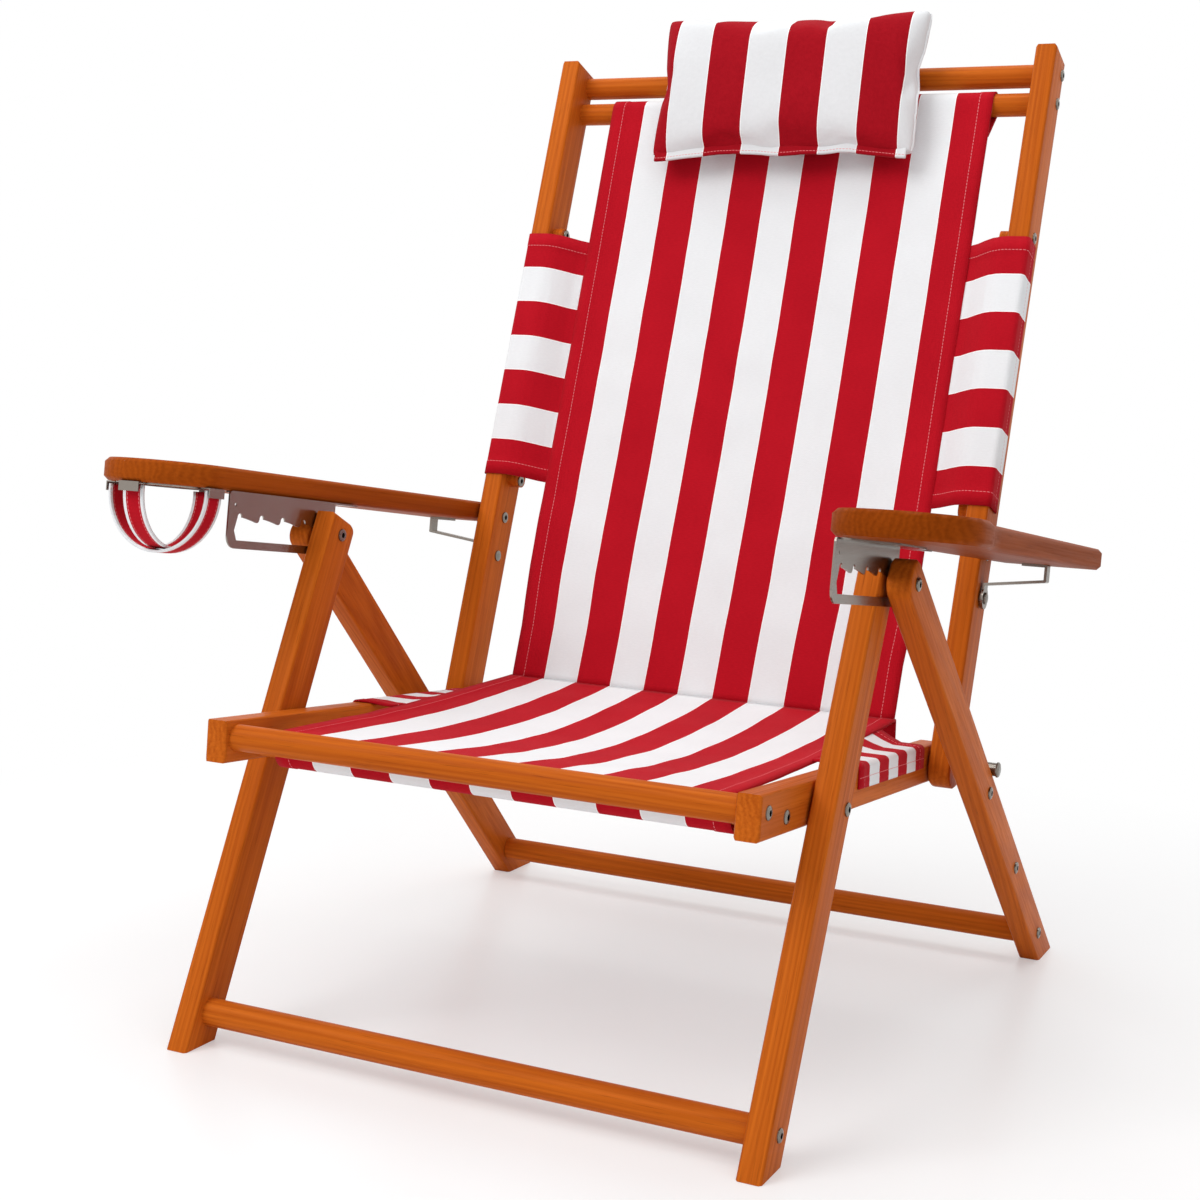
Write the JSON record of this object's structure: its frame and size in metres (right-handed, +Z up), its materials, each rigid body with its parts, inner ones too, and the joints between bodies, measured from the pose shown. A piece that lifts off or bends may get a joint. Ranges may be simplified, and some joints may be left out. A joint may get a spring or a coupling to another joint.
{
  "type": "folding steamer deck chair",
  "caption": "Folding wooden deck chair with a striped canvas sling seat and back, head pillow, notched reclining armrests and a cup sling under one armrest.",
  "frame": {"origin": "middle of the footprint, on the floor", "axes": "+Z up, +Y from the front of the seat to the back, +X to the right as seen from the front"},
  "size_m": [0.743, 0.6968, 0.922],
  "materials": {
    "varnished_wood": "orange-brown hardwood under satin varnish",
    "steel": "plain stainless steel",
    "canvas": "woven canvas in broad red and white stripes",
    "pillow": "filled canvas cushion in red and white stripes",
    "webbing": "red webbing with white edges"
  },
  "bodies": {
    "seat_frame": {"seat_rail_right": "varnished_wood", "seat_rail_left": "varnished_wood", "front_rail_dowel": "varnished_wood", "seat_sling_dowel": "varnished_wood", "seat_rear_dowel": "varnished_wood", "rail_screws": "steel", "pivot_spacers": "steel", "leg_pivot_bolts": "steel", "seat_sling": "canvas", "seat_flap_right": "canvas", "seat_flap_left": "canvas"},
    "front_legs": {"front_leg_right": "varnished_wood", "front_leg_left": "varnished_wood", "front_stretcher": "varnished_wood", "front_stretcher_bolts": "steel", "notch_pins": "steel"},
    "rear_legs": {"rear_leg_right": "varnished_wood", "rear_leg_left": "varnished_wood", "rear_stretcher": "varnished_wood", "rear_leg_bolts": "steel"},
    "back_pivots": {"back_pivot_bolts": "steel"},
    "back": {"back_upright_right": "varnished_wood", "back_upright_left": "varnished_wood", "top_dowel": "varnished_wood", "back_sling_dowel": "varnished_wood", "upright_bolts": "steel", "side_batten_right": "varnished_wood", "side_batten_left": "varnished_wood", "back_sling": "canvas", "sling_bend": "canvas", "back_flap_right": "canvas", "back_flap_left": "canvas", "pillow": "pillow", "pillow_straps": "canvas"},
    "rivets": {"arm_rivets": "steel"},
    "washers": {"bracket_washers": "steel"},
    "arm_right": {"arm_board_right": "varnished_wood", "notched_plate_right": "steel", "arm_bracket_right": "steel", "arm_screws_right": "steel"},
    "arm_left": {"arm_board_left": "varnished_wood", "notched_plate_left": "steel", "arm_bracket_left": "steel", "arm_screws_left": "steel", "cup_ring": "steel", "cup_clips": "steel", "cup_strap_across": "webbing", "cup_strap_along": "webbing"}
  },
  "joints": [
    {"name": "fold", "type": "hinge", "parent": "seat_frame", "child": "front_legs", "pos_m": [0, -0.20108, 0.2437], "axis": [1, 0, 0], "range_deg": [0, 75]},
    {"name": "rear_leg_fold", "type": "hinge", "parent": "front_legs", "child": "rear_legs", "pos_m": [0, -0.13108, 0.4105], "axis": [1, 0, 0], "range_deg": [-60.43, 0]},
    {"name": "back_fold", "type": "hinge", "parent": "seat_frame", "child": "back_pivots", "pos_m": [0, 0.11092, 0.224], "axis": [1, 0, 0], "range_deg": [0, 82.55]},
    {"name": "recline", "type": "hinge", "parent": "back_pivots", "child": "back", "pos_m": [0, 0.11092, 0.224], "axis": [-1, 0, 0], "range_deg": [0, 55.9], "deforming": ["sling_bend"]},
    {"name": "arm_fold", "type": "hinge", "parent": "back", "child": "rivets", "pos_m": [0, 0.15732, 0.371], "axis": [1, 0, 0], "range_deg": [-87.61, 0]},
    {"name": "arm_level", "type": "hinge", "parent": "rivets", "child": "washers", "pos_m": [0, 0.15732, 0.371], "axis": [1, 0, 0], "range_deg": [0, 43.29]},
    {"name": "arm_lift_right", "type": "hinge", "parent": "washers", "child": "arm_right", "pos_m": [0, 0.15732, 0.371], "axis": [1, 0, 0], "range_deg": [0, 0.97]},
    {"name": "arm_lift_left", "type": "hinge", "parent": "washers", "child": "arm_left", "pos_m": [0, 0.15732, 0.371], "axis": [1, 0, 0], "range_deg": [0, 0.97]}
  ],
  "couplings": [
    {"joint": "rear_leg_fold", "follows": "fold", "ratio": -0.805},
    {"joint": "back_fold", "follows": "fold", "ratio": 1.1},
    {"joint": "arm_fold", "follows": "fold", "ratio": -1.1675},
    {"joint": "arm_level", "follows": "recline", "ratio": 0.7735}
  ]
}
